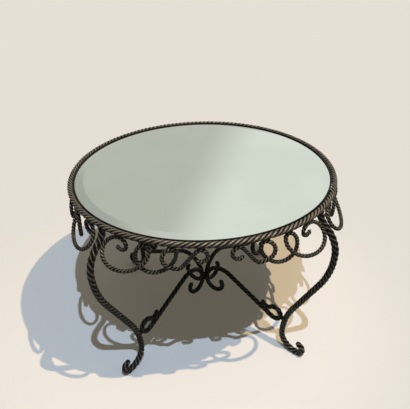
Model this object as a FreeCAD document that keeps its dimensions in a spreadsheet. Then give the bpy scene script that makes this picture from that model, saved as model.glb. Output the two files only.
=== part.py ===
import FreeCAD, Part
import math
import os
import Sketcher

# Round wrought-iron coffee table: four twisted legs, four scrolled braces that meet in the middle,
# a looped apron under a rope ring, and a bevelled mirror top lying in an angle-iron hoop.
# Millimetres, +Z up, origin on the floor under the middle of the table, front at -Y.

Vector = FreeCAD.Vector
doc = FreeCAD.newDocument("coffee_table")

# Driving dimensions
SIZES = [
    ("table_height", 500.0),
    ("ring_diameter", 686.0),
    ("rope_diameter", 14.0),
    ("weld_gap", 0.3),
    ("hoop_wall", 3.0),
    ("hoop_height", 10.0),
    ("hoop_lift", 2.5),
    ("ledge_width", 18.0),
    ("ledge_thickness", 3.0),
    ("mirror_thickness", 6.0),
    ("mirror_clearance", 1.0),
    ("bevel_width", 22.0),
    ("bevel_drop", 3.0),
    ("leg_across_flats", 14.2),
    ("leg_corner_break", 2.4),
    ("leg_twist_pitch", 58.0),
    ("neck_angle", 48.0),
    ("neck_bend", 40.0),
    ("knee_overhang", 49.0),
    ("knee_height", 383.0),
    ("shank_angle", 27.0),
    ("ankle_inset", 60.5),
    ("ankle_height", 58.0),
    ("foot_scroll_radius", 16.5),
    ("foot_scroll_turn", 190.0),
    ("foot_flat_depth", 0.8),
    ("brace_diameter", 14.0),
    ("waist_height", 116.0),
    ("middle_scroll_radius", 30.0),
    ("middle_curl_radius", 11.0),
    ("brace_arch_radius", 60.0),
    ("ankle_loop_height", 114.0),
    ("ankle_loop_radius", 19.5),
    ("tip_radius", 14.0),
    ("tip_turn", 145.0),
    ("apron_rod", 10.0),
    ("first_swag_depth", 57.5),
    ("second_swag_depth", 69.5),
    ("third_swag_depth", 50.0),
    ("leg_swag_gap", 4.0),
    ("leg_loop_swing", 46.0),
    ("loop_swing", 25.6),
    ("loop_lean", 15.0),
    ("swag_flare", 34.0),
    ("crossing_gap", 0.9),
    ("leg_hook_radius", 15.5),
    ("leg_hook_tip_radius", 9.5),
    ("middle_hook_radius", 15.0),
    ("middle_hook_tip_radius", 7.5),
    ("hook_tip_turn", 85.0),
    ("panel_middle_gap", 40.0),
]
sheet = doc.addObject("Spreadsheet::Sheet", "Sizes")
for row, (alias, value) in enumerate(SIZES, start=1):
    sheet.set("A%d" % row, alias)
    sheet.set("B%d" % row, str(value))
    sheet.setAlias("B%d" % row, alias)
doc.recompute()


def size(alias):
    return float(sheet.get(alias))


LEGS = 4
LEG_NAMES = {45: "back_right", 135: "back_left", 225: "front_left", 315: "front_right"}
RING_RADIUS = size("ring_diameter") / 2
RING_UNDERSIDE = size("table_height") - size("rope_diameter")
SEAT = RING_UNDERSIDE - size("weld_gap")


def plane_of(body, role):
    return next(f for f in body.Origin.OriginFeatures if f.Role == role)


def new_sketch(body, name, role):
    sketch = body.newObject("Sketcher::SketchObject", name)
    sketch.AttachmentSupport = (plane_of(body, role), [""])
    sketch.MapMode = "FlatFace"
    return sketch


def bind(sketch, constraint, expression):
    """Add one dimension to a sketch and tie it to the sheet."""
    index = sketch.addConstraint(constraint)
    sketch.setExpression("Constraints[%d]" % index, expression)


def spin_about_z(degrees):
    return FreeCAD.Placement(Vector(), FreeCAD.Rotation(Vector(0, 0, 1), degrees))


# Revolved pieces: the hoop with its ledge and the mirror lying on it
def revolved_body(label, corners):
    """Revolve a closed outline of (radius, height) corners, each with the expressions that place it."""
    body = doc.addObject("PartDesign::Body", label)
    body.Label = label
    sketch = new_sketch(body, label + "_outline", "XZ_Plane")
    count = len(corners)
    points = [Vector(x, z, 0) for x, z, _, _ in corners]
    for i in range(count):
        sketch.addGeometry(Part.LineSegment(points[i], points[(i + 1) % count]), False)
    for i in range(count):
        sketch.addConstraint(Sketcher.Constraint("Coincident", i, 2, (i + 1) % count, 1))
    for i, (x, z, across, up) in enumerate(corners):
        if across is None:
            sketch.addConstraint(Sketcher.Constraint("PointOnObject", i, 1, -2))
        else:
            bind(sketch, Sketcher.Constraint("DistanceX", -1, 1, i, 1, x), across)
        bind(sketch, Sketcher.Constraint("DistanceY", -1, 1, i, 1, z), up)
    revolution = body.newObject("PartDesign::Revolution", label + "_revolution")
    revolution.Profile = sketch
    revolution.ReferenceAxis = (sketch, ["V_Axis"])
    revolution.Angle = 360
    return body


def build_hoop():
    outer = RING_RADIUS - size("rope_diameter") / 2 - size("weld_gap")
    wall = outer - size("hoop_wall")
    lip = wall - size("ledge_width")
    base = RING_UNDERSIDE + size("hoop_lift")
    shelf = base + size("ledge_thickness")
    top = base + size("hoop_height")
    outer_text = "Sizes.ring_diameter / 2 - Sizes.rope_diameter / 2 - Sizes.weld_gap"
    wall_text = outer_text + " - Sizes.hoop_wall"
    lip_text = wall_text + " - Sizes.ledge_width"
    base_text = "Sizes.table_height - Sizes.rope_diameter + Sizes.hoop_lift"
    shelf_text = base_text + " + Sizes.ledge_thickness"
    top_text = base_text + " + Sizes.hoop_height"
    return revolved_body("rim_hoop", [
        (lip, base, lip_text, base_text),
        (outer, base, outer_text, base_text),
        (outer, top, outer_text, top_text),
        (wall, top, wall_text, top_text),
        (wall, shelf, wall_text, shelf_text),
        (lip, shelf, lip_text, shelf_text),
    ])


def build_mirror():
    edge = (RING_RADIUS - size("rope_diameter") / 2 - size("weld_gap")
            - size("hoop_wall") - size("mirror_clearance"))
    table = edge - size("bevel_width")
    back = RING_UNDERSIDE + size("hoop_lift") + size("ledge_thickness")
    face = back + size("mirror_thickness")
    rim = face - size("bevel_drop")
    edge_text = ("Sizes.ring_diameter / 2 - Sizes.rope_diameter / 2 - Sizes.weld_gap"
                 " - Sizes.hoop_wall - Sizes.mirror_clearance")
    table_text = edge_text + " - Sizes.bevel_width"
    back_text = ("Sizes.table_height - Sizes.rope_diameter + Sizes.hoop_lift"
                 " + Sizes.ledge_thickness")
    face_text = back_text + " + Sizes.mirror_thickness"
    rim_text = face_text + " - Sizes.bevel_drop"
    return revolved_body("mirror_top", [
        (0, back, None, back_text),
        (edge, back, edge_text, back_text),
        (edge, rim, edge_text, rim_text),
        (table, face, table_text, face_text),
        (0, face, None, face_text),
    ])


# Rope ring round the hoop, welded over the legs
def build_ring():
    ring = doc.addObject("Part::Torus", "rope_ring")
    ring.setExpression("Radius1", "Sizes.ring_diameter / 2")
    ring.setExpression("Radius2", "Sizes.rope_diameter / 2")
    ring.setExpression("Placement.Base.z", "Sizes.table_height - Sizes.rope_diameter / 2")
    return ring


# Leg: a twisted square bar that follows a cabriole curve and ends in a small scroll
KNEE_RADIUS = RING_RADIUS + size("knee_overhang")
ANKLE_RADIUS = RING_RADIUS - size("ankle_inset")
SHANK = math.radians(size("shank_angle"))
NECK = math.radians(size("neck_angle"))
LEG_FLAT = size("leg_across_flats") / 2
LEG_EDGE = LEG_FLAT - size("leg_corner_break")
LEG_REACH = math.hypot(LEG_FLAT, LEG_EDGE)
FOOT_BEND = size("ankle_height") - LEG_REACH + size("foot_flat_depth")


def slant(run, drop, angle):
    """Both bends together and the straight between them, for a bar that goes aside and comes back upright."""
    bends = (drop - run / math.tan(angle)) / math.tan(angle / 2)
    straight = (run - bends * (1 - math.cos(angle))) / math.sin(angle)
    return bends, straight


SHANK_BENDS, SHANK_STRAIGHT = slant(KNEE_RADIUS - ANKLE_RADIUS,
                                    size("knee_height") - size("ankle_height"), SHANK)
NECK_BENDS, NECK_STRAIGHT = slant(KNEE_RADIUS - RING_RADIUS, SEAT - size("knee_height"), NECK)
LEG_BEND = SHANK_BENDS / 2


def leg_runs():
    """(length, turn) of each run of the leg's centre line, from under the ring down to the foot's tip."""
    scroll = math.radians(size("foot_scroll_turn"))
    return [
        (size("neck_bend") * NECK, NECK),
        (NECK_STRAIGHT, 0.0),
        ((NECK_BENDS - size("neck_bend")) * NECK, -NECK),
        (LEG_BEND * SHANK, -SHANK),
        (SHANK_STRAIGHT, 0.0),
        (LEG_BEND * SHANK, SHANK),
        (FOOT_BEND * math.pi / 2, math.pi / 2),
        (size("foot_scroll_radius") * scroll, scroll),
    ]


def along_runs(runs, distance):
    """Point and heading at a distance along the runs, which start downwards under the ring."""
    x = RING_RADIUS
    z = SEAT
    heading = -math.pi / 2
    for length, turn in runs:
        step = min(distance, length)
        part_turn = turn * step / length
        chord = step
        if part_turn:
            chord = 2 * step / part_turn * math.sin(part_turn / 2)
        x += chord * math.cos(heading + part_turn / 2)
        z += chord * math.sin(heading + part_turn / 2)
        heading += part_turn
        distance -= step
    return x, z, heading


def bar_section(x, z, heading, twist):
    """Square bar with broken corners, standing across the centre line."""
    outline = [(LEG_FLAT, -LEG_EDGE), (LEG_FLAT, LEG_EDGE), (LEG_EDGE, LEG_FLAT), (-LEG_EDGE, LEG_FLAT),
               (-LEG_FLAT, LEG_EDGE), (-LEG_FLAT, -LEG_EDGE), (-LEG_EDGE, -LEG_FLAT), (LEG_EDGE, -LEG_FLAT)]
    side = Vector(-math.sin(heading), 0, math.cos(heading))
    across = Vector(0, 1, 0)
    points = []
    for a, b in outline:
        turned_a = a * math.cos(twist) - b * math.sin(twist)
        turned_b = a * math.sin(twist) + b * math.cos(twist)
        points.append(Vector(x, 0, z) + side * turned_a + across * turned_b)
    return Part.makePolygon(points + points[:1])


STEPS_PER_TWIST = 12
CORNER_DOWN = math.pi / 4


def leg_shape():
    """The whole bar is twisted left-handed, with a broken corner down where the foot stands."""
    runs = leg_runs()
    bar_length = sum(length for length, _ in runs)
    lowest = bar_length - runs[-1][0]
    steps = math.ceil(bar_length / size("leg_twist_pitch") * STEPS_PER_TWIST)
    sections = []
    for i in range(steps + 1):
        station = bar_length * i / steps
        x, z, heading = along_runs(runs, station)
        twist = CORNER_DOWN + 2 * math.pi * (station - lowest) / size("leg_twist_pitch")
        sections.append(bar_section(x, z, heading, twist))
    bar = Part.makeLoft(sections, True, True)
    reach = 2 * RING_RADIUS
    above_floor = Part.makeBox(2 * reach, 2 * reach, 2 * SEAT, Vector(-reach, -reach, 0))
    return bar.common(above_floor).Solids[0]


def build_legs():
    shape = leg_shape()
    legs = []
    for angle, name in LEG_NAMES.items():
        leg = doc.addObject("Part::Feature", "leg_" + name)
        leg.Shape = shape
        leg.Placement = spin_about_z(angle)
        legs.append(leg)
    return legs


# Brace: a round bar in the leg's plane, scrolled in the middle of the table and looped at the ankle
BEND_TEXT = ("((Sizes.knee_height - Sizes.ankle_height"
             " - (Sizes.knee_overhang + Sizes.ankle_inset) / tan(Sizes.shank_angle * 1 deg))"
             " / (2 * tan(Sizes.shank_angle * 0.5 deg)))")
WAIST_TEXT = "(Sizes.brace_diameter + Sizes.weld_gap) / sqrt(2)"
TOUCH_TEXT = ("(sqrt((Sizes.leg_across_flats / 2) ^ 2"
              " + (Sizes.leg_across_flats / 2 - Sizes.leg_corner_break) ^ 2)"
              " + Sizes.brace_diameter / 2 + Sizes.weld_gap)")
LOOP_TEXT = ("Sizes.ring_diameter / 2 - Sizes.ankle_inset + " + BEND_TEXT
             + " - sqrt((" + BEND_TEXT + " + " + TOUCH_TEXT + " + Sizes.ankle_loop_radius) ^ 2"
             " - (Sizes.ankle_loop_height - Sizes.ankle_height) ^ 2)")


def brace_circles():
    """Centres and radii of the circles that the brace's centre line follows, from the middle out."""
    waist = (size("brace_diameter") + size("weld_gap")) / math.sqrt(2)
    height = size("waist_height")
    scroll = size("middle_scroll_radius")
    curl = size("middle_curl_radius")
    arch = size("brace_arch_radius")
    loop = size("ankle_loop_radius")
    touch = LEG_REACH + size("brace_diameter") / 2 + size("weld_gap")
    climb = size("ankle_loop_height") - size("ankle_height")
    loop_x = ANKLE_RADIUS + LEG_BEND - math.sqrt((LEG_BEND + touch + loop) ** 2 - climb ** 2)
    return {
        "curl": (Vector(waist + 2 * scroll - curl, height, 0), curl),
        "scroll": (Vector(waist + scroll, height, 0), scroll),
        "arch": (Vector(waist + arch, height, 0), arch),
        "loop": (Vector(loop_x, size("ankle_loop_height"), 0), loop),
    }


def arc(centre, radius, first, last):
    return Part.ArcOfCircle(Part.Circle(centre, Vector(0, 0, 1), radius), first, last)


def on_circle(centre, radius, angle):
    return centre + Vector(math.cos(angle), math.sin(angle), 0) * radius


def build_brace(angle, name):
    label = "brace_" + name
    body = doc.addObject("PartDesign::Body", label)
    body.Label = label
    path = new_sketch(body, label + "_path", "XZ_Plane")
    circles = brace_circles()
    curl_centre, curl = circles["curl"]
    scroll_centre, scroll = circles["scroll"]
    arch_centre, arch = circles["arch"]
    loop_centre, loop = circles["loop"]
    tip = size("tip_radius")

    # the sloping bar runs from over the arch to under the ankle loop
    between = loop_centre - arch_centre
    slope = math.atan2(between.y, between.x) - math.asin((arch + loop) / between.Length)
    up = slope + math.pi / 2
    bar = Vector(math.cos(slope), math.sin(slope), 0)
    normal = Vector(math.cos(up), math.sin(up), 0)

    # the loop's end lies along the bar and turns up
    tip_rise = tip + size("brace_diameter") + size("weld_gap") - loop
    tip_back = math.sqrt((loop + tip) ** 2 - tip_rise ** 2)
    tip_centre = loop_centre - bar * tip_back + normal * tip_rise
    away = tip_centre - loop_centre
    meet = math.atan2(away.y, away.x)
    tip_start = meet + math.pi
    tip_end = tip_start - math.radians(size("tip_turn"))

    path.addGeometry(arc(curl_centre, curl, 0, math.pi / 2), False)
    path.addGeometry(arc(scroll_centre, scroll, math.pi, 2 * math.pi), False)
    path.addGeometry(arc(arch_centre, arch, up, math.pi), False)
    path.addGeometry(Part.LineSegment(on_circle(arch_centre, arch, up),
                                      on_circle(loop_centre, loop, up + math.pi)), False)
    path.addGeometry(arc(loop_centre, loop, up + math.pi, meet + 2 * math.pi), False)
    path.addGeometry(arc(tip_centre, tip, tip_end, tip_start), False)

    joints = [(0, 1, 1, 2), (1, 1, 2, 2), (2, 1, 3, 1), (3, 2, 4, 1), (4, 2, 5, 2)]
    for first, first_end, second, second_end in joints:
        path.addConstraint(Sketcher.Constraint("Tangent", first, first_end, second, second_end))
    radii = {0: "middle_curl_radius", 1: "middle_scroll_radius", 2: "brace_arch_radius",
             4: "ankle_loop_radius", 5: "tip_radius"}
    for geometry, alias in radii.items():
        bind(path, Sketcher.Constraint("Radius", geometry, size(alias)), "Sizes." + alias)
    path.addConstraint(Sketcher.Constraint("Vertical", 0, 3, 0, 2))
    path.addConstraint(Sketcher.Constraint("Horizontal", 0, 3, 1, 3))
    path.addConstraint(Sketcher.Constraint("Horizontal", 1, 3, 2, 3))
    waist = on_circle(scroll_centre, scroll, math.pi)
    bind(path, Sketcher.Constraint("DistanceX", -1, 1, 1, 1, waist.x), WAIST_TEXT)
    bind(path, Sketcher.Constraint("DistanceY", -1, 1, 1, 1, waist.y), "Sizes.waist_height")
    bind(path, Sketcher.Constraint("DistanceX", -1, 1, 4, 3, loop_centre.x), LOOP_TEXT)
    bind(path, Sketcher.Constraint("DistanceY", -1, 1, 4, 3, loop_centre.y), "Sizes.ankle_loop_height")
    bind(path, Sketcher.Constraint("Distance", 5, 3, 3, tip + size("brace_diameter") + size("weld_gap")),
         "Sizes.tip_radius + Sizes.brace_diameter + Sizes.weld_gap")

    profile = new_sketch(body, label + "_section", "YZ_Plane")
    profile.addGeometry(Part.Circle(Vector(0, curl_centre.y + curl, 0), Vector(0, 0, 1),
                                    size("brace_diameter") / 2), False)
    profile.addConstraint(Sketcher.Constraint("PointOnObject", 0, 3, -2))
    bind(profile, Sketcher.Constraint("DistanceY", -1, 1, 0, 3, curl_centre.y + curl),
         "Sizes.waist_height + Sizes.middle_curl_radius")
    bind(profile, Sketcher.Constraint("Diameter", 0, size("brace_diameter")), "Sizes.brace_diameter")
    profile.setExpression("AttachmentOffset.Base.z",
                          WAIST_TEXT + " + 2 * Sizes.middle_scroll_radius - Sizes.middle_curl_radius")

    pipe = body.newObject("PartDesign::AdditivePipe", label + "_bar")
    pipe.Profile = profile
    pipe.Spine = path
    body.Placement = spin_about_z(angle)
    return body


# Apron: each half panel is one rod bent into a hook, three swags with two loops between, and a hook
HALF_PANEL = RING_RADIUS * math.pi / LEGS
ROD = size("apron_rod") / 2
ROD_TOP = SEAT - ROD
FULL_TURN = 2 * math.pi
SWAGS = 3
LAST_SWAG = (SWAGS - 1) * FULL_TURN
STATIONS_PER_TURN = 8
SEARCH_STEPS = 200


def swing(turn):
    """Sideways swing of the rod, widest beside the leg."""
    share = min(1.0, max(0.0, (math.pi - turn) / FULL_TURN))
    return size("loop_swing") + (size("leg_loop_swing") - size("loop_swing")) * share


def swag_depth(turn):
    if turn < math.pi:
        return size("first_swag_depth")
    if turn < 3 * math.pi:
        return size("second_swag_depth")
    return size("third_swag_depth")


def low(turn):
    """1 at the bottom of a swag, 0 where the rod touches the ring."""
    return (1 + math.cos(turn)) / 2


LAST_TOP = HALF_PANEL - size("panel_middle_gap") / 2 - ROD - size("middle_hook_radius")


def first_top():
    """Place of the first top, so that the rod's way down from it passes the leg at the stated gap."""
    passing = LEG_REACH + ROD + size("leg_swag_gap")
    needed = []
    for i in range(SEARCH_STEPS):
        turn = -math.pi + math.pi * i / SEARCH_STEPS
        share = (turn + math.pi) / (SWAGS * FULL_TURN)
        reach = size("loop_lean") * low(turn) - swing(turn) * math.sin(turn)
        needed.append((passing + reach - LAST_TOP * share) / (1 - share))
    return max(needed)


FIRST_TOP = first_top()
LOOP_SPACING = (LAST_TOP - FIRST_TOP) / SWAGS


def along_ring(turn):
    """Distance of the rod from the leg; turn is 0 in the first swag's bottom."""
    along = FIRST_TOP + LOOP_SPACING * (turn + math.pi) / FULL_TURN - size("loop_lean") * low(turn)
    if turn < LAST_SWAG:
        along += swing(turn) * math.sin(turn)
    return along


def crossing_sway():
    """Outward sway that lets the rod pass itself under the second loop."""
    top = LAST_SWAG - math.pi
    near = top
    far = LAST_SWAG
    for _ in range(SEARCH_STEPS):
        after = (near + far) / 2
        level = min(1.0, low(after) * size("third_swag_depth") / size("second_swag_depth"))
        before = top - math.acos(1 - 2 * level)
        if along_ring(after) < along_ring(before):
            near = after
        else:
            far = after
    return (2 * ROD + size("crossing_gap")) / (math.sin(before) - math.sin(after))


CROSSING_SWAY = crossing_sway()


def festoon_point(turn):
    """Distance from the leg, height and outward sway of the rod."""
    sway = -CROSSING_SWAY * math.sin(turn)
    if turn < 0 or turn > LAST_SWAG:
        sway *= low(turn)
    if turn < math.pi:
        sway += size("swag_flare") * low(turn)
    return along_ring(turn), ROD_TOP - swag_depth(turn) * low(turn), sway


def hook_point(top, radius, tip, turn):
    """Round hook hanging under the ring, with a tighter tip."""
    if turn <= math.pi:
        return top + radius * math.sin(turn), ROD_TOP - radius * (1 - math.cos(turn)), 0.0
    return top + tip * math.sin(turn), ROD_TOP - 2 * radius + tip * (1 + math.cos(turn)), 0.0


def leg_hook(turn):
    return hook_point(FIRST_TOP, size("leg_hook_radius"), size("leg_hook_tip_radius"), turn)


def middle_hook(turn):
    return hook_point(LAST_TOP, size("middle_hook_radius"), size("middle_hook_tip_radius"), turn)


def rod_stations():
    """Places along one half panel's rod, from the hook beside the leg to the hook in the middle."""
    tip = math.radians(size("hook_tip_turn"))
    hook = [math.pi / 2, math.pi, math.pi + tip / 2, math.pi + tip]
    step = FULL_TURN / STATIONS_PER_TURN
    stations = [(leg_hook, turn, -1) for turn in reversed(hook)]
    stations += [(festoon_point, -math.pi + step * i, 1) for i in range(SWAGS * STATIONS_PER_TURN + 1)]
    stations += [(middle_hook, turn, 1) for turn in hook]
    return stations


def wrapped(along, height, sway, side):
    """Bend the flat rod round the ring, to one side of the leg that stands at +X."""
    angle = side * along / RING_RADIUS
    reach = RING_RADIUS + sway
    return Vector(reach * math.cos(angle), reach * math.sin(angle), height)


STRAIGHT = 1e-6
NUDGE = 1e-4


def half_arc(start, direction, end):
    """Arc that leaves start in a direction and ends at a point."""
    chord = end - start
    unit = Vector(chord).normalize()
    lift = direction - unit * direction.dot(unit)
    if lift.Length < STRAIGHT:
        return Part.LineSegment(start, end)
    lean = math.atan2(lift.Length, direction.dot(unit))
    middle = (start + end) * 0.5 + lift.normalize() * (chord.Length / 2 * math.tan(lean / 2))
    return Part.Arc(start, middle, end)


def biarc(start, start_way, end, end_way):
    """Two tangent arcs from one point and direction to another."""
    span = end - start
    ways = start_way + end_way
    bend = 2 * (1 - start_way.dot(end_way))
    along = span.dot(ways)
    if bend < STRAIGHT:
        reach = span.dot(span) / (2 * along)
    else:
        reach = (-along + math.sqrt(along ** 2 + bend * span.dot(span))) / bend
    joint = (start + end + (start_way - end_way) * reach) * 0.5
    return [half_arc(start, start_way, joint), half_arc(end, end_way * -1, joint)]


def least_gap(path):
    """Smallest clear space between stretches of the rod that are not neighbours along it."""
    spacing = ROD / 3
    points = path.discretize(Distance=spacing)
    apart = math.ceil(FULL_TURN * ROD / spacing)
    nearest = min(points[i].distanceToPoint(points[j])
                  for i in range(len(points)) for j in range(i + apart, len(points)))
    return nearest - 2 * ROD


def apron_shape(side):
    points = []
    ways = []
    for place, turn, sense in rod_stations():
        here = wrapped(*place(turn), side)
        ahead = wrapped(*place(turn + NUDGE), side)
        points.append(here)
        ways.append((ahead - here).normalize() * sense)
    edges = []
    for i in range(len(points) - 1):
        edges += biarc(points[i], ways[i], points[i + 1], ways[i + 1])
    path = Part.Wire([edge.toShape() for edge in edges])
    section = Part.Wire(Part.Circle(points[0], ways[0], ROD).toShape())
    bar = path.makePipeShell([section], True, False)
    print("apron rod length %.1f volume %.0f expected %.0f least gap %.2f"
          % (path.Length, bar.Volume, math.pi * ROD ** 2 * path.Length, least_gap(path)))
    return bar


def build_apron():
    panels = {45: ("back_right", "right_back"), 135: ("left_back", "back_left"),
              225: ("front_left", "left_front"), 315: ("right_front", "front_right")}
    halves = []
    for side, position in ((1, 0), (-1, 1)):
        shape = apron_shape(side)
        for angle, names in panels.items():
            half = doc.addObject("Part::Feature", "apron_" + names[position])
            half.Shape = shape
            half.Placement = spin_about_z(angle)
            halves.append(half)
    return halves


pieces = [build_ring(), build_hoop(), build_mirror()]
pieces += build_legs()
pieces += [build_brace(angle, name) for angle, name in LEG_NAMES.items()]
pieces += build_apron()
doc.recompute()

for item in doc.Objects:
    if "Invalid" in item.State or "Error" in item.State:
        raise RuntimeError("%s failed: %s" % (item.Name, item.State))
for piece in pieces:
    if piece.Shape.isNull() or not piece.Shape.isValid() or len(piece.Shape.Solids) != 1:
        raise RuntimeError("%s has no single valid solid" % piece.Label)

os.makedirs("parts", exist_ok=True)
for piece in pieces:
    piece.Shape.exportStep("parts/%s.step" % piece.Label)
    print("%s %.0f mm3" % (piece.Label, piece.Shape.Volume))
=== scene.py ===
import math

import bmesh
import bpy
from mathutils import Color, Matrix, Vector


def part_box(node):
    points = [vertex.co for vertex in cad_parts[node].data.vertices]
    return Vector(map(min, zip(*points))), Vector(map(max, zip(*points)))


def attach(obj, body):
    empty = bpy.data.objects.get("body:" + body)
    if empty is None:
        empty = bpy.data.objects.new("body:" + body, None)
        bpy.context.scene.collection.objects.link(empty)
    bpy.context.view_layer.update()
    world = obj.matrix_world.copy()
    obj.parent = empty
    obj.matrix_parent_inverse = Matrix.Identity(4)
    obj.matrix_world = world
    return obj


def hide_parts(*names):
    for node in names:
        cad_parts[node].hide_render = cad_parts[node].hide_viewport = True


# Round wrought-iron coffee table with a bevelled mirror top. Metres, +Z up, front at -Y.
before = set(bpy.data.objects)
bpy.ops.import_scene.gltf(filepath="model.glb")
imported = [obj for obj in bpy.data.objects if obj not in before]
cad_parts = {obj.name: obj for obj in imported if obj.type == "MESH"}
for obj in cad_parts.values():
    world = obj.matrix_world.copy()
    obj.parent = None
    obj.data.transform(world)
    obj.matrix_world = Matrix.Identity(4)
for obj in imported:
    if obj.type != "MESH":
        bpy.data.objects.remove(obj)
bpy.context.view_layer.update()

# Sizes read from the solids
RING_LOW, RING_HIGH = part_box("rope_ring")
HOOP_LOW, HOOP_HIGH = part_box("rim_hoop")
MIRROR_LOW, MIRROR_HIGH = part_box("mirror_top")
ROPE = (RING_HIGH.z - RING_LOW.z) / 2
RING = RING_HIGH.x - ROPE
RING_HEIGHT = RING_LOW.z + ROPE

# Sizes shared with the solids
WELD_GAP = 0.0003
HOOP_WALL = 0.003
LEDGE_WIDTH = 0.018
LEDGE_THICKNESS = 0.003
BEVEL_WIDTH = 0.022
LEG_FLAT = 0.0071
LEG_CORNER_BREAK = 0.0024
LEG_REACH = math.hypot(LEG_FLAT, LEG_FLAT - LEG_CORNER_BREAK)
LEG_TWIST_PITCH = 0.058
NECK_ANGLE = math.radians(48)
NECK_BEND = 0.04
KNEE_OVERHANG = 0.049
KNEE_HEIGHT = 0.383
SHANK_ANGLE = math.radians(27)
ANKLE_INSET = 0.0605
ANKLE_HEIGHT = 0.058
FOOT_SCROLL_RADIUS = 0.0165
FOOT_SCROLL_TURN = math.radians(190)
FOOT_FLAT_DEPTH = 0.0008
BRACE = 0.007
WAIST_HEIGHT = 0.116
MIDDLE_SCROLL = 0.03
MIDDLE_CURL = 0.011
BRACE_ARCH = 0.06
ANKLE_LOOP_HEIGHT = 0.114
ANKLE_LOOP = 0.0195
TIP = 0.014
TIP_TURN = math.radians(145)
ROD = 0.005
SWAG_DEPTHS = (0.0575, 0.0695, 0.05)
LEG_SWAG_GAP = 0.004
LEG_LOOP_SWING = 0.046
LOOP_SWING = 0.0256
LOOP_LEAN = 0.015
SWAG_FLARE = 0.034
CROSSING_GAP = 0.0009
LEG_HOOK = 0.0155
LEG_HOOK_TIP = 0.0095
MIDDLE_HOOK = 0.015
MIDDLE_HOOK_TIP = 0.0075
HOOK_TIP_TURN = math.radians(85)
PANEL_MIDDLE_GAP = 0.04

# Bevel of the mirror, shallower than on the solid
BEVEL_DROP = 0.002

# Where the bars meet the ring, and the sides of the table
SEAT = RING_LOW.z - WELD_GAP
FULL_TURN = 2 * math.pi
UP = Vector((0, 0, 1))
LEG_AZIMUTHS = {"back_right": 45, "back_left": 135, "front_left": 225, "front_right": 315}
APRON_SIDES = {
    1: {45: "back_right", 135: "left_back", 225: "front_left", 315: "right_front"},
    -1: {45: "right_back", 135: "back_left", 225: "left_front", 315: "front_right"},
}

# Twist of the bars, all left-handed
HAND = -1
BAR_RIDGES = 4
ROPE_RIDGES = 4
ROPE_TURNS = 40
STRAND_STEPS = 12
ROD_RIDGES = 3
ROD_TWIST_PITCH = 0.025
PATH_STEP = 0.0011

# Sockets of a colour Mix node, whose names are shared with its other kinds
MIX_SHARE = 0
MIX_FIRST = 6
MIX_SECOND = 7
MIX_RESULT = 2


class Value:
    """A number in a node tree. Each operator adds one Math node."""

    def __init__(self, tree, socket):
        self.tree = tree
        self.socket = socket

    def out(self, name):
        return Value(self.tree, self.socket.node.outputs[name])

    def math(self, operation, *terms):
        return self.tree.add("ShaderNodeMath", {"operation": operation}, dict(enumerate(terms)))

    def __add__(self, other):
        return self.math("ADD", self, other)

    __radd__ = __add__

    def __sub__(self, other):
        return self.math("SUBTRACT", self, other)

    def __rsub__(self, other):
        return self.math("SUBTRACT", other, self)

    def __mul__(self, other):
        return self.math("MULTIPLY", self, other)

    __rmul__ = __mul__

    def __truediv__(self, other):
        return self.math("DIVIDE", self, other)

    def __abs__(self):
        return self.math("ABSOLUTE", self)

    def sin(self):
        return self.math("SINE", self)

    def cos(self):
        return self.math("COSINE", self)

    def at_least(self, floor):
        return self.math("MAXIMUM", self, floor)

    def at_most(self, ceiling):
        return self.math("MINIMUM", self, ceiling)

    def below(self, limit):
        return self.math("LESS_THAN", self, limit)

    def wobble(self, amount):
        """A pattern of 0 to 1 made to swing about zero."""
        return (self - 0.5) * amount

    def ramp(self, start, end):
        """0 at start, 1 at end, smooth between."""
        return self.tree.add("ShaderNodeMapRange", {"interpolation_type": "SMOOTHSTEP"},
                             {"Value": self, "From Min": start, "From Max": end})


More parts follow.
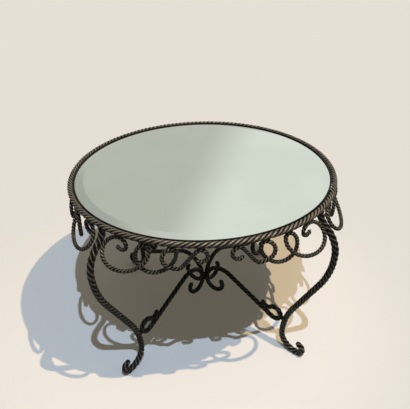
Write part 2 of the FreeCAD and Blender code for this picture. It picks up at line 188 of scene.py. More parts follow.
class Tree:
    """A node tree that nodes are added to, with their settings and sockets."""

    def __init__(self, tree):
        self.tree = tree

    def add(self, kind, settings=None, sockets=None, output=0):
        node = self.tree.nodes.new(kind)
        for name, setting in (settings or {}).items():
            setattr(node, name, setting)
        for key, value in (sockets or {}).items():
            self.put(node.inputs[key], value)
        return Value(self, node.outputs[output]) if node.outputs else node

    def put(self, socket, value):
        if isinstance(value, Value):
            self.tree.links.new(value.socket, socket)
        else:
            socket.default_value = value

    def blend(self, share, first, second):
        """Mix two colours."""
        return self.add("ShaderNodeMix", {"data_type": "RGBA"},
                        {MIX_SHARE: share, MIX_FIRST: first, MIX_SECOND: second}, MIX_RESULT)

    def noise(self, place, scale, detail):
        return self.add("ShaderNodeTexNoise", None, {"Vector": place, "Scale": scale, "Detail": detail})

    def bump(self, height, depth, strength):
        return self.add("ShaderNodeBump", None,
                        {"Strength": strength, "Distance": depth, "Height": height})

    def vector(self, operation, first, second):
        return self.add("ShaderNodeVectorMath", {"operation": operation}, {0: first, 1: second})

    def stretch(self, vector, factor):
        return self.add("ShaderNodeVectorMath", {"operation": "SCALE"}, {0: vector, "Scale": factor})

    def coordinates(self):
        """Place on the surface, in the table's own frame."""
        return self.add("ShaderNodeTexCoord").out("Object")

    def mark(self, name):
        """A number that the mesh carries for its finish."""
        return self.add("ShaderNodeAttribute", {"attribute_name": name}).out("Fac")

    def keep(self, shape, name, value, kind="FLOAT"):
        """Store a value on every point of a shape."""
        return self.add("GeometryNodeStoreNamedAttribute", {"data_type": kind, "domain": "POINT"},
                        {"Geometry": shape, "Name": name, "Value": value})

    def kept(self, name, kind="FLOAT"):
        return self.add("GeometryNodeInputNamedAttribute", {"data_type": kind}, {"Name": name})

    def smooth(self, shape, domain, where):
        return self.add("GeometryNodeSetShadeSmooth", {"domain": domain},
                        {"Geometry": shape, "Shade Smooth": where})

    def hand_over(self, shape, finish):
        """End the tree with a real mesh in its finish that knows how far up each point faces."""
        # The facing-up value drives the iron finishes' painted highlight on tops and painted shade
        # underneath.
        facing = self.add("ShaderNodeSeparateXYZ", None, {0: self.add("GeometryNodeInputNormal")})
        shape = self.keep(shape, "upward", facing.out("Z") * 0.5 + 0.5)
        shape = self.add("GeometryNodeRealizeInstances", None, {"Geometry": shape})
        shape = self.add("GeometryNodeSetMaterial", None, {"Geometry": shape, "Material": finish})
        self.add("NodeGroupOutput", None, {"Made": shape})


def paint(red, green, blue):
    """Linear colour from the usual 0 to 255 values."""
    return (*(Color((red, green, blue)) / 255).from_srgb_to_scene_linear(), 1.0)


def on_circle(radius, angle, height):
    """Point on a level circle about the table's axis."""
    return Vector((radius * math.cos(angle), radius * math.sin(angle), height))


# Finishes
def new_material(name):
    material = bpy.data.materials.new(name)
    material.use_nodes = True
    material.node_tree.nodes.clear()
    return material, Tree(material.node_tree)


def surface(tree, sockets):
    shader = tree.add("ShaderNodeBsdfPrincipled", None, sockets)
    tree.add("ShaderNodeOutputMaterial", None, {"Surface": shader})


# Iron: patterns per metre, then how far each one shows
PATCH_GRAIN = 38
MOTTLE_GRAIN = 190
DENT_GRAIN = 210
SCALE_GRAIN = 1100
PATCH_EDGES = (0.35, 0.7)
# Crown values over which the painted shade in the grooves gives way to the iron's colour
GROOVE_EDGES = (0.1, 0.75)
SOFT_STEP = 0.5
RUB_MOTTLE = 0.6
RUB_PATCHES = 0.5
# Share of the ridges' painted highlight, then of the colour under the painted shade, that undersides
# keep
UNDERSIDE_HIGHLIGHT = 0.2
UNSHADED_UNDERSIDE = 0.25
RUB_METAL = 0.6
RUB_POLISH = 0.1
MOTTLE_ROUGHNESS = 0.25
IRON_GLOSS = 0.08
DENT_HEIGHT = 0.5
SCALE_HEIGHT = 0.35
MOTTLE_HEIGHT = 0.5
IRON_BUMP_DEPTH = 0.0006
IRON_BUMP = 0.35


def forged_iron(name, dark, patina, worn, wear, rub, shaded_below, roughness):
    """Blackened iron: brown in patches and worn on ridges above rub, with a painted highlight on tops
    and painted shade in grooves and underneath.
    """
    material, tree = new_material(name)
    place = tree.coordinates()
    patches = tree.noise(place, PATCH_GRAIN, detail=4)
    mottle = tree.noise(place, MOTTLE_GRAIN, detail=3)
    scale = tree.noise(place, SCALE_GRAIN, detail=2)
    dents = tree.add("ShaderNodeTexVoronoi", {"feature": "SMOOTH_F1"},
                     {"Vector": place, "Scale": DENT_GRAIN})
    crown = tree.mark("crown")
    # How far the surface faces up; it sets the painted highlight on tops and the painted shade
    # underneath.
    upward = tree.mark("upward").ramp(shaded_below, shaded_below + SOFT_STEP)
    ridge = crown + mottle.wobble(RUB_MOTTLE) + patches.wobble(RUB_PATCHES)
    # Worn ridges are lighter; the facing-up factor also makes this a painted highlight, so ridges facing
    # down keep only part of it.
    wear_and_highlight = ridge.ramp(rub, rub + SOFT_STEP) * (UNDERSIDE_HIGHLIGHT + upward * (1 - UNDERSIDE_HIGHLIGHT)) * wear
    # Painted shade: grooves and undersides go to the dark base colour.
    out_of_shade = crown.ramp(*GROOVE_EDGES) * (UNSHADED_UNDERSIDE + upward * (1 - UNSHADED_UNDERSIDE))
    skin = tree.blend(patches.ramp(*PATCH_EDGES), dark, patina)
    skin = tree.blend(wear_and_highlight, skin, worn)
    skin = tree.blend(out_of_shade, dark, skin)
    height = dents * DENT_HEIGHT + scale * SCALE_HEIGHT + mottle * MOTTLE_HEIGHT
    surface(tree, {
        "Base Color": skin,
        "Metallic": wear_and_highlight * RUB_METAL,
        "Roughness": roughness + mottle.wobble(MOTTLE_ROUGHNESS) - wear_and_highlight * RUB_POLISH,
        "Specular IOR Level": IRON_GLOSS,
        "Normal": tree.bump(height, IRON_BUMP_DEPTH, IRON_BUMP),
    })
    return material


# Mirror face
HAZE_GRAIN = 5
HAZE_EDGES = (0.4, 0.7)
CLEAR_SILVER = paint(240, 243, 238)
HAZY_SILVER = paint(235, 239, 233)
SILVER_ROUGHNESS = 0.012
HAZE_ROUGHNESS = 0.02


def silvered_glass():
    """Clean silvering with a faint haze."""
    material, tree = new_material("silvered_glass")
    haze = tree.noise(tree.coordinates(), HAZE_GRAIN, detail=3).ramp(*HAZE_EDGES)
    surface(tree, {
        "Base Color": tree.blend(haze, CLEAR_SILVER, HAZY_SILVER),
        "Metallic": 1.0,
        "Roughness": SILVER_ROUGHNESS + haze * HAZE_ROUGHNESS,
    })
    return material


# Mirror back
CLOUD_GRAIN = 16
CLOUD_EDGES = (0.3, 0.7)
DARK_BACKING = paint(92, 90, 84)
PALE_BACKING = paint(112, 108, 100)
SPECK_GRAIN = 420
SPECK_DEPTH = 0.0004
SPECK_BUMP = 0.2
BACKING_ROUGHNESS = 0.6
SPECK_ROUGHNESS = 0.3


def mirror_backing():
    """Grey protective paint on the back of the glass."""
    material, tree = new_material("mirror_backing")
    place = tree.coordinates()
    cloud = tree.noise(place, CLOUD_GRAIN, detail=4)
    speck = tree.noise(place, SPECK_GRAIN, detail=2)
    surface(tree, {
        "Base Color": tree.blend(cloud.ramp(*CLOUD_EDGES), DARK_BACKING, PALE_BACKING),
        "Roughness": BACKING_ROUGHNESS + speck.wobble(SPECK_ROUGHNESS),
        "Normal": tree.bump(speck, SPECK_DEPTH, SPECK_BUMP),
    })
    return material


# Mirror edge
GRIND_GRAIN = 700
DARK_EDGE = paint(120, 140, 128)
PALE_EDGE = paint(150, 168, 156)
EDGE_ROUGHNESS = 0.25
GRIND_ROUGHNESS = 0.2


def glass_edge():
    """Green-grey ground edge of the glass."""
    material, tree = new_material("glass_edge")
    grind = tree.noise(tree.coordinates(), GRIND_GRAIN, detail=2)
    surface(tree, {
        "Base Color": tree.blend(grind, DARK_EDGE, PALE_EDGE),
        "Roughness": EDGE_ROUGHNESS + grind * GRIND_ROUGHNESS,
    })
    return material


# Makers: one tree sweeps every forged bar along its path, another lays the weld beads
HAMMER_GRAIN = 130
LUMP_GRAIN = 330
CREASE = math.radians(50)
WORKING_MARKS = ("to_end", "centre", "turn", "tilt", "gap", "seam", "size")


def new_maker(name, sizes):
    """Geometry tree that takes a shape, named sizes and a finish."""
    group = bpy.data.node_groups.new(name, "GeometryNodeTree")
    group.interface.new_socket("Given", in_out="INPUT", socket_type="NodeSocketGeometry")
    for size in sizes:
        group.interface.new_socket(size, in_out="INPUT", socket_type="NodeSocketFloat")
    group.interface.new_socket("Finish", in_out="INPUT", socket_type="NodeSocketMaterial")
    group.interface.new_socket("Made", in_out="OUTPUT", socket_type="NodeSocketGeometry")
    return group, Tree(group)


def forged_bar_tree():
    """Sweep a bar along a path, twist it, raise its ridges and flatten it where it meets the floor."""
    group, tree = new_maker("forged_bar", ("Radius", "Ridges", "Ridge depth", "Ridge roundness", "Pitch",
                                           "Phase", "End rounding", "Hammering"))
    group.interface.new_socket("Sides", in_out="INPUT", socket_type="NodeSocketInt")
    given = tree.add("NodeGroupInput")

    along = tree.add("GeometryNodeSplineParameter").out("Length")
    left = tree.add("GeometryNodeSplineLength").out("Length") - along
    position = tree.add("GeometryNodeInputPosition")
    path = tree.keep(given.out("Given"), "to_end", left.at_most(along))
    path = tree.keep(path, "centre", position, "FLOAT_VECTOR")
    tilt = given.out("Phase") + along / given.out("Pitch") * (HAND * FULL_TURN)
    path = tree.add("GeometryNodeSetCurveTilt", None, {"Curve": path, "Tilt": tilt})

    circle = tree.add("GeometryNodeCurvePrimitiveCircle", None,
                      {"Resolution": given.out("Sides"), "Radius": given.out("Radius")})
    turn = tree.add("GeometryNodeSplineParameter").out("Factor") * FULL_TURN
    circle = tree.keep(circle, "turn", turn)
    bar = tree.add("GeometryNodeCurveToMesh", None,
                   {"Curve": path, "Profile Curve": circle, "Fill Caps": True})

    half_ridge = tree.kept("turn") * given.out("Ridges") / 2
    sharp_crown = abs(half_ridge.sin())
    sharp_groove = 1 - abs(half_ridge.cos())
    roundness = given.out("Ridge roundness")
    groove = sharp_crown * (1 - roundness) + sharp_groove * roundness
    dents = tree.noise(position, HAMMER_GRAIN, detail=1).wobble(given.out("Hammering"))
    swell = 1 - groove * given.out("Ridge depth") + dents
    short = 1 - (tree.kept("to_end") / given.out("Radius")).at_most(1.0)
    swell = swell * (1 - short * short * given.out("End rounding"))
    centre = tree.kept("centre", "FLOAT_VECTOR")
    spoke = tree.stretch(tree.vector("SUBTRACT", position, centre), swell)
    shaped = tree.add("ShaderNodeSeparateXYZ", None, {0: tree.vector("ADD", centre, spoke)})
    grounded = tree.add("ShaderNodeCombineXYZ", None,
                        {"X": shaped.out("X"), "Y": shaped.out("Y"), "Z": shaped.out("Z").at_least(0.0)})
    bar = tree.keep(bar, "crown", 1 - groove)
    bar = tree.add("GeometryNodeSetPosition", None, {"Geometry": bar, "Position": grounded})

    bar = tree.smooth(bar, "FACE", True)
    angle = tree.add("GeometryNodeInputMeshEdgeAngle").out("Unsigned Angle")
    bar = tree.smooth(bar, "EDGE", angle.below(CREASE))
    tree.hand_over(bar, given.out("Finish"))
    return group


def weld_bead_tree():
    """Lay a lumpy bead on each weld: long along its seam, thin across the gap that it fills."""
    group, tree = new_maker("weld_bead", ("Lumps", "Crown"))
    given = tree.add("NodeGroupInput")
    bead = tree.add("GeometryNodeMeshIcoSphere", None, {"Radius": 1.0, "Subdivisions": 3})
    turn = tree.add("FunctionNodeAlignRotationToVector", {"axis": "Z"},
                    {"Vector": tree.kept("gap", "FLOAT_VECTOR")})
    turn = tree.add("FunctionNodeAlignRotationToVector", {"axis": "X", "pivot_axis": "Z"},
                    {"Rotation": turn, "Vector": tree.kept("seam", "FLOAT_VECTOR")})
    beads = tree.add("GeometryNodeInstanceOnPoints", None, {
        "Points": given.out("Given"),
        "Instance": bead,
        "Rotation": turn,
        "Scale": tree.kept("size", "FLOAT_VECTOR"),
    })
    beads = tree.add("GeometryNodeRealizeInstances", None, {"Geometry": beads})
    position = tree.add("GeometryNodeInputPosition")
    lump = tree.noise(position, LUMP_GRAIN, detail=1).wobble(given.out("Lumps"))
    rise = tree.stretch(tree.add("GeometryNodeInputNormal"), lump)
    beads = tree.add("GeometryNodeSetPosition", None, {"Geometry": beads, "Offset": rise})
    beads = tree.keep(beads, "crown", given.out("Crown"))
    beads = tree.smooth(beads, "FACE", True)
    tree.hand_over(beads, given.out("Finish"))
    return group


FORGED_BAR = forged_bar_tree()
WELD_BEAD = weld_bead_tree()


def make_mesh(start, group, settings):
    """Plain mesh that a tree makes from a curve or from points."""
    carrier = bpy.data.objects.new("carrier", start)
    bpy.context.scene.collection.objects.link(carrier)
    modifier = carrier.modifiers.new("maker", "NODES")
    modifier.node_group = group
    for item in group.interface.items_tree:
        if item.name in settings:
            modifier[item.identifier] = settings[item.name]
    graph = bpy.context.evaluated_depsgraph_get()
    mesh = bpy.data.meshes.new_from_object(carrier.evaluated_get(graph))
    carrier.modifiers.remove(modifier)
    bpy.data.objects.remove(carrier)
    for name in WORKING_MARKS:
        extra = mesh.attributes.get(name)
        if extra:
            mesh.attributes.remove(extra)
    return mesh


def sweep(points, closed, settings):
    """Mesh of a bar that follows points."""
    curve = bpy.data.curves.new("path", "CURVE")
    curve.dimensions = "3D"
    spline = curve.splines.new("POLY")
    spline.points.add(len(points) - 1)
    for spot, point in zip(spline.points, points):
        spot.co = (*point, 1.0)
    spline.use_cyclic_u = closed
    mesh = make_mesh(curve, FORGED_BAR, settings)
    bpy.data.curves.remove(curve)
    return mesh


def place_piece(mesh, name, body, azimuth=0.0, node=None):
    """A copy of a mesh, turned about the table's axis in its own points, that rides on a body."""
    own = mesh.copy()
    own.transform(Matrix.Rotation(math.radians(azimuth), 4, "Z"))
    piece = bpy.data.objects.new(name, own)
    bpy.context.scene.collection.objects.link(piece)
    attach(piece, body)
    if node:
        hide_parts(node)


def follow(x, z, heading, runs):
    """Points along runs of (length, turn) in the plane of a leg."""
    points = [Vector((x, 0, z))]
    for length, turn in runs:
        count = math.ceil(length / PATH_STEP)
        step = length / count
        bend = turn / count
        chord = step
        if bend:
            chord = 2 * step / bend * math.sin(bend / 2)
        for _ in range(count):
            x += chord * math.cos(heading + bend / 2)
            z += chord * math.sin(heading + bend / 2)
            heading += bend
            points.append(Vector((x, 0, z)))
    return points


# Legs
def slant(run, drop, angle):
    """Radii of two bends added up, and the straight between them, for a bar that steps aside."""
    bends = (drop - run / math.tan(angle)) / math.tan(angle / 2)
    straight = (run - bends * (1 - math.cos(angle))) / math.sin(angle)
    return bends, straight


KNEE = RING + KNEE_OVERHANG
ANKLE = RING - ANKLE_INSET
SHANK_BENDS, SHANK_STRAIGHT = slant(KNEE - ANKLE, KNEE_HEIGHT - ANKLE_HEIGHT, SHANK_ANGLE)
NECK_BENDS, NECK_STRAIGHT = slant(KNEE_OVERHANG, SEAT - KNEE_HEIGHT, NECK_ANGLE)
LEG_BEND = SHANK_BENDS / 2
FOOT_BEND = ANKLE_HEIGHT - LEG_REACH + FOOT_FLAT_DEPTH


def build_legs(finish):
    """Twisted square bars: out to the knee, in to the ankle and up in the foot's scroll."""
    runs = [
        (NECK_BEND * NECK_ANGLE, NECK_ANGLE),
        (NECK_STRAIGHT, 0),
        ((NECK_BENDS - NECK_BEND) * NECK_ANGLE, -NECK_ANGLE),
        (LEG_BEND * SHANK_ANGLE, -SHANK_ANGLE),
        (SHANK_STRAIGHT, 0),
        (LEG_BEND * SHANK_ANGLE, SHANK_ANGLE),
        (FOOT_BEND * math.pi / 2, math.pi / 2),
        (FOOT_SCROLL_RADIUS * FOOT_SCROLL_TURN, FOOT_SCROLL_TURN),
    ]
    to_floor = sum(length for length, _ in runs[:-1])
    mesh = sweep(follow(RING, SEAT, -math.pi / 2, runs), False, {
        "Radius": LEG_REACH,
        "Ridges": BAR_RIDGES,
        "Ridge depth": 1 - LEG_FLAT / LEG_REACH,
        "Ridge roundness": 0.5,
        "Pitch": LEG_TWIST_PITCH,
        "Phase": -HAND * FULL_TURN * to_floor / LEG_TWIST_PITCH,
        "End rounding": 0.5,
        "Hammering": 0.03,
        "Sides": 48,
        "Finish": finish,
    })
    for name, azimuth in LEG_AZIMUTHS.items():
        place_piece(mesh, "twisted_leg_" + name, "frame", azimuth, "leg_" + name)


# Braces
WAIST = (2 * BRACE + WELD_GAP) / math.sqrt(2)
SHANK_BEND_CENTRE = Vector((ANKLE + LEG_BEND, 0, ANKLE_HEIGHT))
LOOP_TO_BEND = LEG_BEND + LEG_REACH + WELD_GAP + BRACE + ANKLE_LOOP
LOOP_INSET = math.sqrt(LOOP_TO_BEND ** 2 - (ANKLE_LOOP_HEIGHT - ANKLE_HEIGHT) ** 2)
LOOP_CENTRE = Vector((SHANK_BEND_CENTRE.x - LOOP_INSET, 0, ANKLE_LOOP_HEIGHT))


def build_braces(finish):
    """Bars from the middle scroll, over an arch and down to a loop at the ankle with a curled tip."""
    between = LOOP_CENTRE.xz - Vector((WAIST + BRACE_ARCH, WAIST_HEIGHT))
    slope = math.atan2(between.y, between.x) - math.asin((BRACE_ARCH + ANKLE_LOOP) / between.length)
    straight = math.sqrt(between.length ** 2 - (BRACE_ARCH + ANKLE_LOOP) ** 2)
    over = math.pi / 2 - slope
    tip_rise = TIP + 2 * BRACE + WELD_GAP - ANKLE_LOOP
    loop_turn = FULL_TURN - math.acos(-tip_rise / (ANKLE_LOOP + TIP))
    runs = [
        (MIDDLE_CURL * math.pi / 2, -math.pi / 2),
        (MIDDLE_SCROLL * math.pi, -math.pi),
        (BRACE_ARCH * over, -over),
        (straight, 0),
        (ANKLE_LOOP * loop_turn, loop_turn),
        (TIP * TIP_TURN, -TIP_TURN),
    ]
    start = WAIST + 2 * MIDDLE_SCROLL - MIDDLE_CURL
    mesh = sweep(follow(start, WAIST_HEIGHT + MIDDLE_CURL, 0, runs), False, {
        "Radius": BRACE,
        "Ridges": BAR_RIDGES,
        "Ridge depth": 0.13,
        "Ridge roundness": 0.5,
        "Pitch": LEG_TWIST_PITCH,
        "End rounding": 0.5,
        "Hammering": 0.05,
        "Sides": 48,
        "Finish": finish,
    })
    for name, azimuth in LEG_AZIMUTHS.items():
        place_piece(mesh, "scrolled_brace_" + name, "frame", azimuth, "brace_" + name)


# Apron
SWAGS = len(SWAG_DEPTHS)
LAST_SWAG = (SWAGS - 1) * FULL_TURN
ROD_TOP = SEAT - ROD
LAST_TOP = RING * math.pi / len(LEG_AZIMUTHS) - PANEL_MIDDLE_GAP / 2 - ROD - MIDDLE_HOOK
SEARCH_STEPS = 200
SWAG_STEP = 0.02
HOOK_STEP = 0.04


def low(turn):
    """1 at the bottom of a swag, 0 where the rod touches the ring."""
    return (1 + math.cos(turn)) / 2


def swing(turn):
    """Sideways swing of the rod, widest beside the leg."""
    share = min(1.0, max(0.0, (math.pi - turn) / FULL_TURN))
    return LOOP_SWING + (LEG_LOOP_SWING - LOOP_SWING) * share


def first_top():
    """Place of the first top, so that the rod's way down from it passes the leg at the stated gap."""
    passing = LEG_REACH + ROD + LEG_SWAG_GAP
    needed = []
    for i in range(SEARCH_STEPS):
        turn = -math.pi + math.pi * i / SEARCH_STEPS
        share = (turn + math.pi) / (SWAGS * FULL_TURN)
        reach = LOOP_LEAN * low(turn) - swing(turn) * math.sin(turn)
        needed.append((passing + reach - LAST_TOP * share) / (1 - share))
    return max(needed)


FIRST_TOP = first_top()
LOOP_SPACING = (LAST_TOP - FIRST_TOP) / SWAGS


def along_ring(turn):
    """Distance of the rod from the leg; turn is 0 in the first swag's bottom."""
    along = FIRST_TOP + LOOP_SPACING * (turn + math.pi) / FULL_TURN - LOOP_LEAN * low(turn)
    if turn < LAST_SWAG:
        along += swing(turn) * math.sin(turn)
    return along


def crossing_sway():
    """Outward sway that lets the rod pass itself under the second loop."""
    top = LAST_SWAG - math.pi
    near = top
    far = LAST_SWAG
    for _ in range(SEARCH_STEPS):
        after = (near + far) / 2
        level = min(1.0, low(after) * SWAG_DEPTHS[2] / SWAG_DEPTHS[1])
        before = top - math.acos(1 - 2 * level)
        if along_ring(after) < along_ring(before):
            near = after
        else:
            far = after
    return (2 * ROD + CROSSING_GAP) / (math.sin(before) - math.sin(after))


CROSSING_SWAY = crossing_sway()


def festoon_point(turn):
    """Distance from the leg, height and outward sway of the rod."""
    swag = min(SWAGS - 1, int((turn + math.pi) / FULL_TURN))
    sway = -CROSSING_SWAY * math.sin(turn)
    if turn < 0 or turn > LAST_SWAG:
        sway *= low(turn)
    if swag == 0:
        sway += SWAG_FLARE * low(turn)
    return along_ring(turn), ROD_TOP - SWAG_DEPTHS[swag] * low(turn), sway


def hook_point(top, radius, tip, turn):
    """Round hook hanging under the ring, with a tighter tip."""
    if turn <= math.pi:
        return top + radius * math.sin(turn), ROD_TOP - radius * (1 - math.cos(turn)), 0.0
    return top + tip * math.sin(turn), ROD_TOP - 2 * radius + tip * (1 + math.cos(turn)), 0.0


def rod_path(side):
    """Points of one half panel's rod, wrapped round the ring to one side of the leg at +X."""
    hook_steps = int((math.pi + HOOK_TIP_TURN) / HOOK_STEP)
    hook_turns = [HOOK_STEP * (i + 1) for i in range(hook_steps)]
    swag_steps = int(SWAGS * FULL_TURN / SWAG_STEP)
    swag_turns = [-math.pi + SWAGS * FULL_TURN * i / swag_steps for i in range(swag_steps + 1)]
    flat = [hook_point(FIRST_TOP, LEG_HOOK, LEG_HOOK_TIP, turn) for turn in reversed(hook_turns)]
    flat += [festoon_point(turn) for turn in swag_turns]
    flat += [hook_point(LAST_TOP, MIDDLE_HOOK, MIDDLE_HOOK_TIP, turn) for turn in hook_turns]
    return [on_circle(RING + sway, side * along / RING, height) for along, height, sway in flat]


def build_apron(finish):
    """Finely twisted rods, two mirrored half panels between each pair of legs."""
    for side, names in APRON_SIDES.items():
        mesh = sweep(rod_path(side), False, {
            "Radius": ROD,
            "Ridges": ROD_RIDGES,
            "Ridge depth": 0.34,
            "Ridge roundness": 1.0,
            "Pitch": ROD_TWIST_PITCH,
            "End rounding": 0.5,
            "Hammering": 0.03,
            "Sides": 24,
            "Finish": finish,
        })
        for azimuth, name in names.items():
            place_piece(mesh, "looped_rod_" + name, "frame", azimuth, "apron_" + name)


# Rope edge
def build_rope(finish):
    """Ring of laid strands round the top."""
    count = ROPE_TURNS * ROPE_RIDGES * STRAND_STEPS
    points = [on_circle(RING, FULL_TURN * i / count, RING_HEIGHT) for i in range(count)]
    around = 2 * count * RING * math.sin(math.pi / count)
    mesh = sweep(points, True, {
        "Radius": ROPE,
        "Ridges": ROPE_RIDGES,
        "Ridge depth": 0.3,
        "Ridge roundness": 1.0,
        "Pitch": around / ROPE_TURNS,
        "End rounding": 0.0,
        "Hammering": 0.03,
        "Sides": 32,
        "Finish": finish,
    })
    place_piece(mesh, "rope_edge", "frame", 0, "rope_ring")


# Hoop and mirror, turned about the table's axis
LATHE_STEPS = 384
LATHE_CREASE = math.radians(4)
SOFT_EDGE = 0.0004
HOOP_CROWN = 0.7

# Order of the finishes on the hoop and on the mirror
ONLY_FINISH = 0
SILVER = 0
EDGE = 1
BACKING = 2


def lathe(outline, finishes):
    """Mesh turned from corners of (radius, height, finish of the face that starts there)."""
    count = len(outline)
    work = bmesh.new()
    rings = []
    for radius, height, _ in outline:
        if radius == 0:
            rings.append([work.verts.new((0, 0, height))] * LATHE_STEPS)
        else:
            rings.append([work.verts.new(on_circle(radius, FULL_TURN * i / LATHE_STEPS, height))
                          for i in range(LATHE_STEPS)])
    for corner in range(count):
        first = rings[corner]
        second = rings[(corner + 1) % count]
        for i in range(LATHE_STEPS):
            j = (i + 1) % LATHE_STEPS
            ordered = dict.fromkeys((first[i], first[j], second[j], second[i]))
            if len(ordered) > 2:
                face = work.faces.new(ordered)
                face.smooth = True
                face.material_index = outline[corner][2]
    bmesh.ops.recalc_face_normals(work, faces=work.faces)
    mesh = bpy.data.meshes.new("lathe")
    work.to_mesh(mesh)
    work.free()
    for finish in finishes:
        mesh.materials.append(finish)
    mesh.set_sharp_from_angle(angle=LATHE_CREASE)
    return mesh


def build_hoop(finish):
    """Angle-iron hoop with softened corners, whose ledge carries the mirror."""
    outer = HOOP_HIGH.x
    wall = outer - HOOP_WALL
    lip = wall - LEDGE_WIDTH
    base = HOOP_LOW.z
    shelf = base + LEDGE_THICKNESS
    top = HOOP_HIGH.z
    corners = [(lip, base), (outer, base), (outer, top), (wall, top), (wall, shelf), (lip, shelf)]
    outline = []
    for i, (radius, height) in enumerate(corners):
        for other_radius, other_height in (corners[i - 1], corners[(i + 1) % len(corners)]):
            step_out = math.copysign(SOFT_EDGE, other_radius - radius) if other_radius != radius else 0
            step_up = math.copysign(SOFT_EDGE, other_height - height) if other_height != height else 0
            outline.append((radius + step_out, height + step_up, ONLY_FINISH))
    mesh = lathe(outline, [finish])
    crown = mesh.attributes.new("crown", "FLOAT", "POINT")
    crown.data.foreach_set("value", [HOOP_CROWN] * len(mesh.vertices))
    # Facing up, for the iron finish's painted highlight and painted shade.
    upward = mesh.attributes.new("upward", "FLOAT", "POINT")
    upward.data.foreach_set("value", [0.5 + vertex.normal.z / 2 for vertex in mesh.vertices])
    place_piece(mesh, "angle_hoop", "frame", 0, "rim_hoop")


def build_mirror():
    """Round mirror with a polished bevel, a ground edge and a painted back."""
    edge = MIRROR_HIGH.x
    face = MIRROR_HIGH.z
    back = MIRROR_LOW.z
    rim = face - BEVEL_DROP
    outline = [
        (0, face, SILVER),
        (edge - BEVEL_WIDTH, face, SILVER),
        (edge - SOFT_EDGE, rim, EDGE),
        (edge, rim - SOFT_EDGE, EDGE),
        (edge, back + SOFT_EDGE, BACKING),
        (edge - SOFT_EDGE, back, BACKING),
        (0, back, BACKING),
    ]
    mesh = lathe(outline, [silvered_glass(), glass_edge(), mirror_backing()])
    place_piece(mesh, "bevelled_mirror", "mirror", 0, "mirror_top")


# Welds: half the length, width and thickness of the beads where the bars touch
ROD_BEAD = Vector((0.008, 0.0042, 0.0022))
LEG_BEAD = Vector((0.009, 0.0075, 0.0035))
BRACE_BEAD = Vector((0.009, 0.0042, 0.0026))
HOOP_BEAD = Vector((0.01, 0.0028, 0.0022))
HOOP_BEADS = 12


def round_table(place, seam, gap, size, azimuth):
    """A weld of the leg at +X, turned about the table's axis."""
    turned = Matrix.Rotation(azimuth, 3, "Z")
    return turned @ place, turned @ seam, turned @ gap, size


def weld_spots():
    """Place, seam, gap direction and bead size of every weld."""
    ahead = Vector((0, 1, 0))
    under_ring = Vector((RING, 0, SEAT))
    waist = Vector((WAIST / math.sqrt(2), 0, WAIST_HEIGHT))
    hoop_foot = Vector((HOOP_HIGH.x, 0, HOOP_LOW.z))
    to_leg = (SHANK_BEND_CENTRE - LOOP_CENTRE).normalized()
    ankle = LOOP_CENTRE + to_leg * (ANKLE_LOOP + BRACE + WELD_GAP / 2)
    rod_tops = [FIRST_TOP, along_ring(math.pi), along_ring(3 * math.pi), LAST_TOP]
    spots = []
    for degrees in LEG_AZIMUTHS.values():
        leg = math.radians(degrees)
        spots.append(round_table(under_ring, ahead, UP, LEG_BEAD, leg))
        spots.append(round_table(ankle, to_leg.cross(ahead), to_leg, BRACE_BEAD, leg))
        spots.append(round_table(waist, UP, ahead, BRACE_BEAD, leg + math.pi / 4))
        for side in APRON_SIDES:
            for along in rod_tops:
                spots.append(round_table(under_ring, ahead, UP, ROD_BEAD, leg + side * along / RING))
    for i in range(HOOP_BEADS):
        spots.append(round_table(hoop_foot, ahead, UP, HOOP_BEAD, FULL_TURN * i / HOOP_BEADS))
    return spots


def build_welds(finish):
    """All the beads as one piece of the frame."""
    places, seams, gaps, sizes = zip(*weld_spots())
    points = bpy.data.meshes.new("welds")
    points.from_pydata(places, [], [])
    for name, vectors in (("seam", seams), ("gap", gaps), ("size", sizes)):
        kept = points.attributes.new(name, "FLOAT_VECTOR", "POINT")
        for spot, vector in zip(kept.data, vectors):
            spot.vector = vector
    mesh = make_mesh(points, WELD_BEAD, {"Lumps": 0.0012, "Crown": 0.6, "Finish": finish})
    bpy.data.meshes.remove(points)
    place_piece(mesh, "weld_beads", "frame")


# Floor
FLOOR_REACH = 3.0
FLOOR_CLEAR = 0.5
FLOOR_FADE = 1.0
FLOOR_MIDDLE = (-0.1, 0.1, 0.0)
FLOOR_PAINT = (0.8, 0.76, 0.7, 1.0)
FLOOR_ROUGHNESS = 0.9


def build_floor():
    """Pale floor that fades into the backdrop away from the table."""
    material, tree = new_material("pale_floor")
    away = tree.add("ShaderNodeVectorMath", {"operation": "DISTANCE"},
                    {0: tree.coordinates(), 1: FLOOR_MIDDLE}, "Value")
    near = away.ramp(FLOOR_FADE, FLOOR_CLEAR)
    surface(tree, {"Base Color": FLOOR_PAINT, "Roughness": FLOOR_ROUGHNESS, "Alpha": near * near})
    mesh = bpy.data.meshes.new("floor")
    reach = FLOOR_REACH
    corners = [(-reach, -reach, 0), (reach, -reach, 0), (reach, reach, 0), (-reach, reach, 0)]
    mesh.from_pydata(corners, [], [(0, 1, 2, 3)])
    mesh.materials.append(material)
    floor = bpy.data.objects.new("floor", mesh)
    bpy.context.scene.collection.objects.link(floor)


# Room: pale walls with a shaded side and a darker corner, laid out by direction from the table
BACKDROP = paint(230, 223, 213)
ROOM_FILL = (0.225, 0.217, 0.186, 1.0)
ROOM_WALL = paint(225, 230, 222)
ROOM_SHADE = paint(192, 193, 184)
ROOM_CORNER = paint(173, 176, 169)
SHADE_SLANT = 0.63
SHADE_SLANT_TOP = 0.58
SHADE_EDGES = (0.475, 0.325)
FAR_WALL_EDGES = (0.0, 0.3)
CEILING_RISE = (0.62, 0.7)
CEILING_SIDE = (-0.14, -0.05)
CEILING_SHARE = 0.4
RIGHT_WALL_EDGES = (0.4, 0.55)
RIGHT_WALL_SHADE = 0.3
CORNER_SLANT = 0.35
CORNER_EDGES = (-0.37, -0.435)


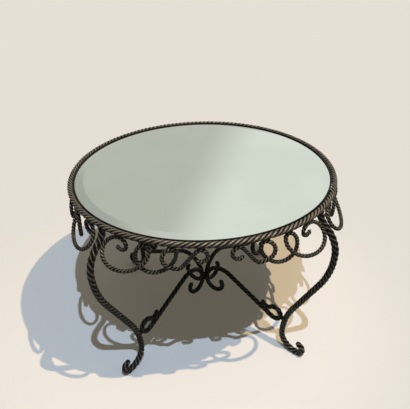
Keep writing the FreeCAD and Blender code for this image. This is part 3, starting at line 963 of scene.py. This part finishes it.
def light_room():
    """Even fill on the table, a plain backdrop, and the walls that the mirror shows."""
    world = bpy.data.worlds.new("room")
    world.use_nodes = True
    world.node_tree.nodes.clear()
    tree = Tree(world.node_tree)
    way = tree.add("ShaderNodeSeparateXYZ", None, {0: tree.add("ShaderNodeTexCoord").out("Generated")})
    across = way.out("X")
    rise = way.out("Z")
    slanted = across + rise.at_most(SHADE_SLANT_TOP) * SHADE_SLANT
    shade = slanted.ramp(*SHADE_EDGES) * way.out("Y").ramp(*FAR_WALL_EDGES)
    ceiling = rise.ramp(*CEILING_RISE) * across.ramp(*CEILING_SIDE)
    shade = shade * (1 - ceiling * CEILING_SHARE)
    shade = shade.at_least(across.ramp(*RIGHT_WALL_EDGES) * RIGHT_WALL_SHADE)
    corner = (across - rise * CORNER_SLANT).ramp(*CORNER_EDGES)
    wall = tree.blend(corner, tree.blend(shade, ROOM_WALL, ROOM_SHADE), ROOM_CORNER)
    rays = tree.add("ShaderNodeLightPath")
    light = tree.blend(rays.out("Is Glossy Ray"), ROOM_FILL, wall)
    light = tree.blend(rays.out("Is Camera Ray"), light, BACKDROP)
    room = tree.add("ShaderNodeBackground", None, {"Color": light})
    tree.add("ShaderNodeOutputWorld", None, {"Surface": room})
    bpy.context.scene.world = world


# Lamps: a warm one and a cool one, so that the table throws two shadows
LAMP_SIZE = 0.012
LAMP_POWER = 43.5
WARM_PLACE = (0.785, -0.75, 2.54)
WARM_TINT = (0.553, 0.43, 0.28, 1.0)
COOL_PLACE = (0.135, -1.24, 2.66)
COOL_TINT = (0.347, 0.438, 0.586, 1.0)


def add_lamp(name, place, tint):
    """Small lamp whose light doesn't thin out with distance, so that the floor is lit evenly."""
    lamp = bpy.data.lights.new(name, "POINT")
    lamp.shadow_soft_size = LAMP_SIZE
    lamp.energy = LAMP_POWER
    lamp.use_nodes = True
    lamp.node_tree.nodes.clear()
    tree = Tree(lamp.node_tree)
    even = tree.add("ShaderNodeLightFalloff", None, {"Strength": 1.0}).out("Constant")
    glow = tree.add("ShaderNodeEmission", None, {"Color": tint, "Strength": even})
    tree.add("ShaderNodeOutputLight", None, {"Surface": glow})
    holder = bpy.data.objects.new(name, lamp)
    holder.location = place
    bpy.context.scene.collection.objects.link(holder)


# Camera
CAMERA_PLACE = Vector((-0.0954, -0.9946, 0.9858))
CAMERA_WAY = Vector((0.0866, 0.8503, -0.5192)).normalized()
CAMERA_ROLL = math.radians(-1.16)
CAMERA_LENS = 36.27
CAMERA_SENSOR = 36.0


def place_camera():
    """Camera in front of the table, looking down on it."""
    data = bpy.data.cameras.new("camera")
    data.lens = CAMERA_LENS
    data.sensor_width = CAMERA_SENSOR
    right = CAMERA_WAY.cross(UP).normalized()
    up = right.cross(CAMERA_WAY)
    rolled_right = right * math.cos(CAMERA_ROLL) + up * math.sin(CAMERA_ROLL)
    rolled_up = up * math.cos(CAMERA_ROLL) - right * math.sin(CAMERA_ROLL)
    turned = Matrix((rolled_right, rolled_up, -CAMERA_WAY)).transposed()
    camera = bpy.data.objects.new("camera", data)
    camera.matrix_world = Matrix.Translation(CAMERA_PLACE) @ turned.to_4x4()
    bpy.context.scene.collection.objects.link(camera)
    bpy.context.scene.camera = camera


# The irons of this table
rope_iron = forged_iron(
    "rope_iron", dark=paint(32, 28, 22), patina=paint(73, 65, 53), worn=paint(143, 135, 119),
    wear=0.8, rub=0.5, shaded_below=0.35, roughness=0.52)
leg_iron = forged_iron(
    "leg_iron", dark=paint(9, 8, 6), patina=paint(30, 26, 20), worn=paint(136, 128, 114),
    wear=0.9, rub=0.62, shaded_below=0.2, roughness=0.34)
rod_iron = forged_iron(
    "rod_iron", dark=paint(10, 8, 6), patina=paint(46, 39, 29), worn=paint(138, 127, 108),
    wear=0.65, rub=0.6, shaded_below=0.2, roughness=0.36)
bar_iron = forged_iron(
    "bar_iron", dark=paint(7, 6, 5), patina=paint(22, 19, 15), worn=paint(104, 96, 82),
    wear=0.6, rub=0.62, shaded_below=0.2, roughness=0.4)
hoop_iron = forged_iron(
    "hoop_iron", dark=paint(7, 6, 5), patina=paint(18, 16, 13), worn=paint(64, 58, 49),
    wear=0.25, rub=0.3, shaded_below=0.2, roughness=0.42)

build_rope(rope_iron)
build_hoop(hoop_iron)
build_mirror()
build_legs(leg_iron)
build_braces(bar_iron)
build_apron(rod_iron)
build_welds(bar_iron)

build_floor()
light_room()
add_lamp("warm_lamp", WARM_PLACE, WARM_TINT)
add_lamp("cool_lamp", COOL_PLACE, COOL_TINT)
place_camera()
bpy.context.scene.view_settings.view_transform = "Standard"
